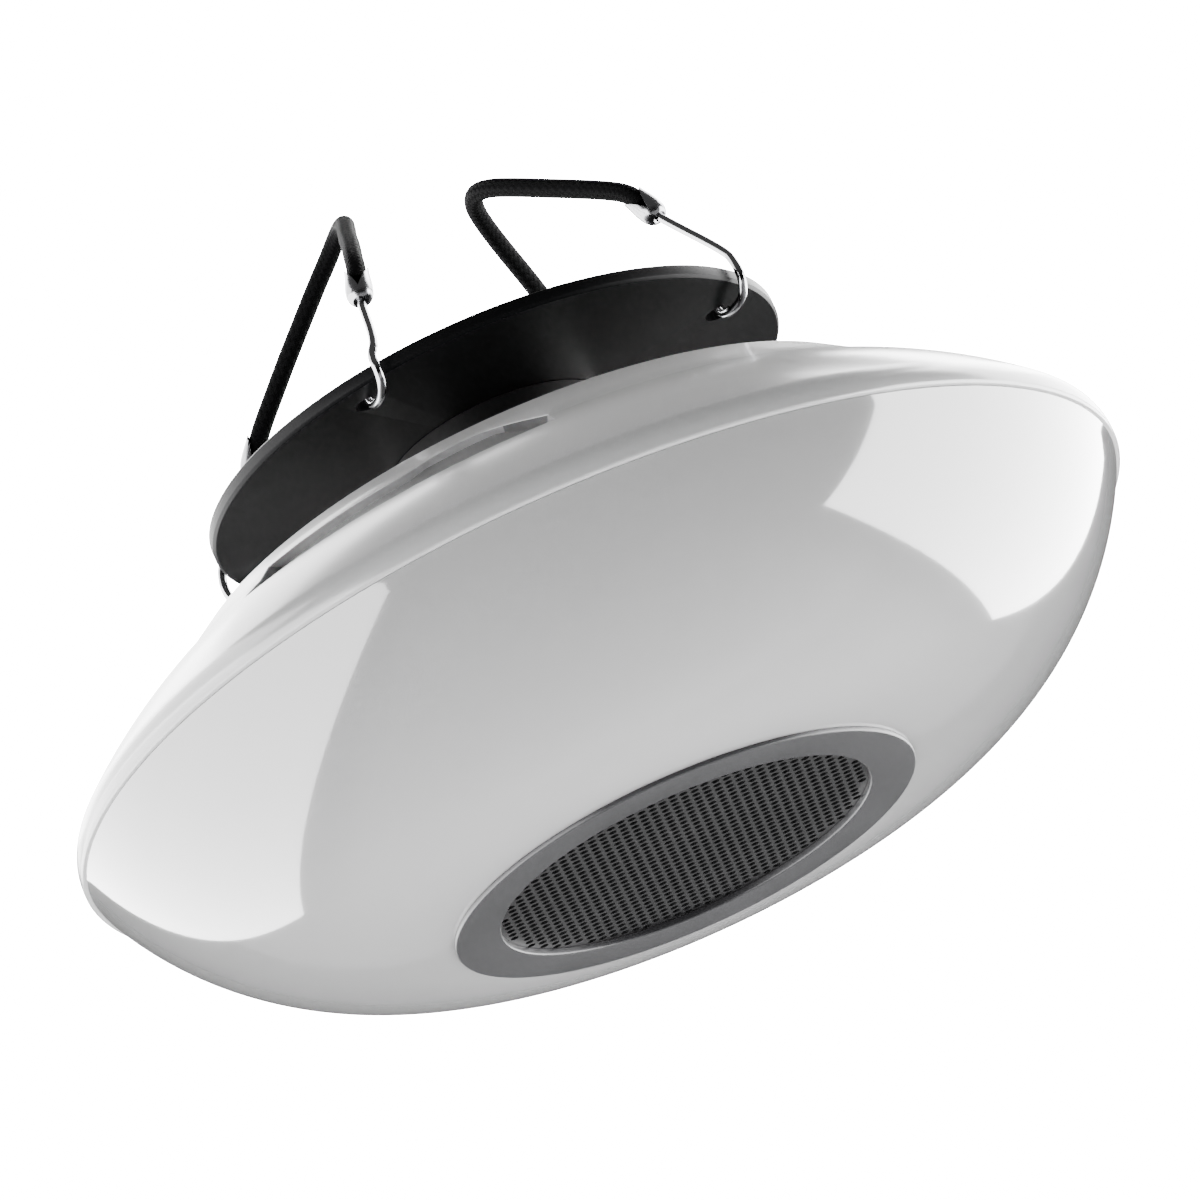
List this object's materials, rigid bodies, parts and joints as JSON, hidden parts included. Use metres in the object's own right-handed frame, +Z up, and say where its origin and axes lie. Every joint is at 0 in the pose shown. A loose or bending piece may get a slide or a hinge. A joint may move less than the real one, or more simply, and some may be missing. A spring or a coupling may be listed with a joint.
{
  "type": "patio umbrella light",
  "caption": "Saucer-shaped lamp with a milky dome and a central speaker, under a round plate with chrome wire hooks and elastic loops that go over umbrella ribs.",
  "frame": {"origin": "centre of the speaker bezel's flat face, which is the lamp's lowest point", "axes": "+Z up along the lamp's axis, from the speaker to the hanging plate; -Y is the front side that the picture shows; +X is to its right"},
  "size_m": [0.2522, 0.2522, 0.1709],
  "materials": {
    "bezel": "fine matt texture",
    "grille": "satin, perforated",
    "black_foam": "foam",
    "speaker_frame": "black coat",
    "surround_rubber": "smooth",
    "cone_paper": "matt",
    "magnet_metal": "zinc coat",
    "white_inner": "moulded",
    "screw_steel": "zinc coat",
    "dome_white": "gloss, milky",
    "seal_white": "soft",
    "shell_white": "satin gloss",
    "tray_white": "bright reflector",
    "board_white": "solder mask",
    "led_yellow": "phosphor",
    "holder_black": "moulded",
    "cell_wrap": "shrink wrap",
    "board_green": "solder mask",
    "chip_black": "moulded",
    "button_grey": "satin",
    "socket_steel": "bright",
    "cover_rubber": "soft",
    "neck_black": "satin",
    "plate_black": "satin powder coat",
    "chrome": "polished",
    "crimp_chrome": "polished",
    "cord_black": "braided"
  },
  "bodies": {
    "lamp": {"speaker_bezel": "bezel", "speaker_grille": "grille", "grille_gasket": "black_foam", "speaker_frame": "speaker_frame", "speaker_surround": "surround_rubber", "speaker_magnet": "magnet_metal", "speaker_pot": "white_inner", "pot_screws": "screw_steel", "diffuser_dome": "dome_white", "seam_gasket": "seal_white", "upper_shell": "shell_white", "reflector_tray": "tray_white", "tray_screws": "screw_steel", "led_board": "board_white", "led_chips": "led_yellow", "battery_holder": "holder_black", "battery_cells": "cell_wrap", "control_board": "board_green", "board_parts": "chip_black", "board_screws": "screw_steel", "button_board": "board_green", "tact_switches": "chip_black", "charge_socket": "socket_steel", "neck_gasket": "black_foam", "neck_post": "neck_black", "neck_screws": "screw_steel", "hanging_plate": "plate_black", "plate_screws": "screw_steel"},
    "left_strap": {"left_front_hook": "chrome", "left_rear_hook": "chrome", "left_front_crimp": "crimp_chrome", "left_rear_crimp": "crimp_chrome", "left_cord": "cord_black"},
    "right_strap": {"right_front_hook": "chrome", "right_rear_hook": "chrome", "right_front_crimp": "crimp_chrome", "right_rear_crimp": "crimp_chrome", "right_cord": "cord_black"},
    "power_button": {"power_button": "button_grey"},
    "light_button": {"light_button": "button_grey"},
    "socket_cover": {"socket_cover": "cover_rubber"},
    "speaker_cone": {"speaker_cone": "cone_paper"}
  },
  "joints": [
    {"name": "left_strap_swing", "type": "hinge", "parent": "lamp", "child": "left_strap", "pos_m": [-0.03956, -0.0193, 0.10987], "axis": [0.4384, -0.8988, 0], "range_deg": [0, 25]},
    {"name": "right_strap_swing", "type": "hinge", "parent": "lamp", "child": "right_strap", "pos_m": [0.03956, 0.0193, 0.10987], "axis": [-0.4384, 0.8988, 0], "range_deg": [0, 25]},
    {"name": "power_button_press", "type": "slide", "parent": "lamp", "child": "power_button", "axis": [0, 0, -1], "range_m": [0, 0.0008], "stiffness_N_per_m": 800, "springref_m": -0.0008},
    {"name": "light_button_press", "type": "slide", "parent": "lamp", "child": "light_button", "axis": [0, 0, -1], "range_m": [0, 0.0008], "stiffness_N_per_m": 800, "springref_m": -0.0008},
    {"name": "socket_cover_hinge", "type": "hinge", "parent": "lamp", "child": "socket_cover", "pos_m": [-0.04072, 0.05816, 0.08363], "axis": [0.8192, 0.5736, 0], "range_deg": [0, 110]},
    {"name": "speaker_cone_travel", "type": "slide", "parent": "lamp", "child": "speaker_cone", "axis": [0, 0, 1], "range_m": [-0.001, 0.001], "stiffness_N_per_m": 1500}
  ]
}
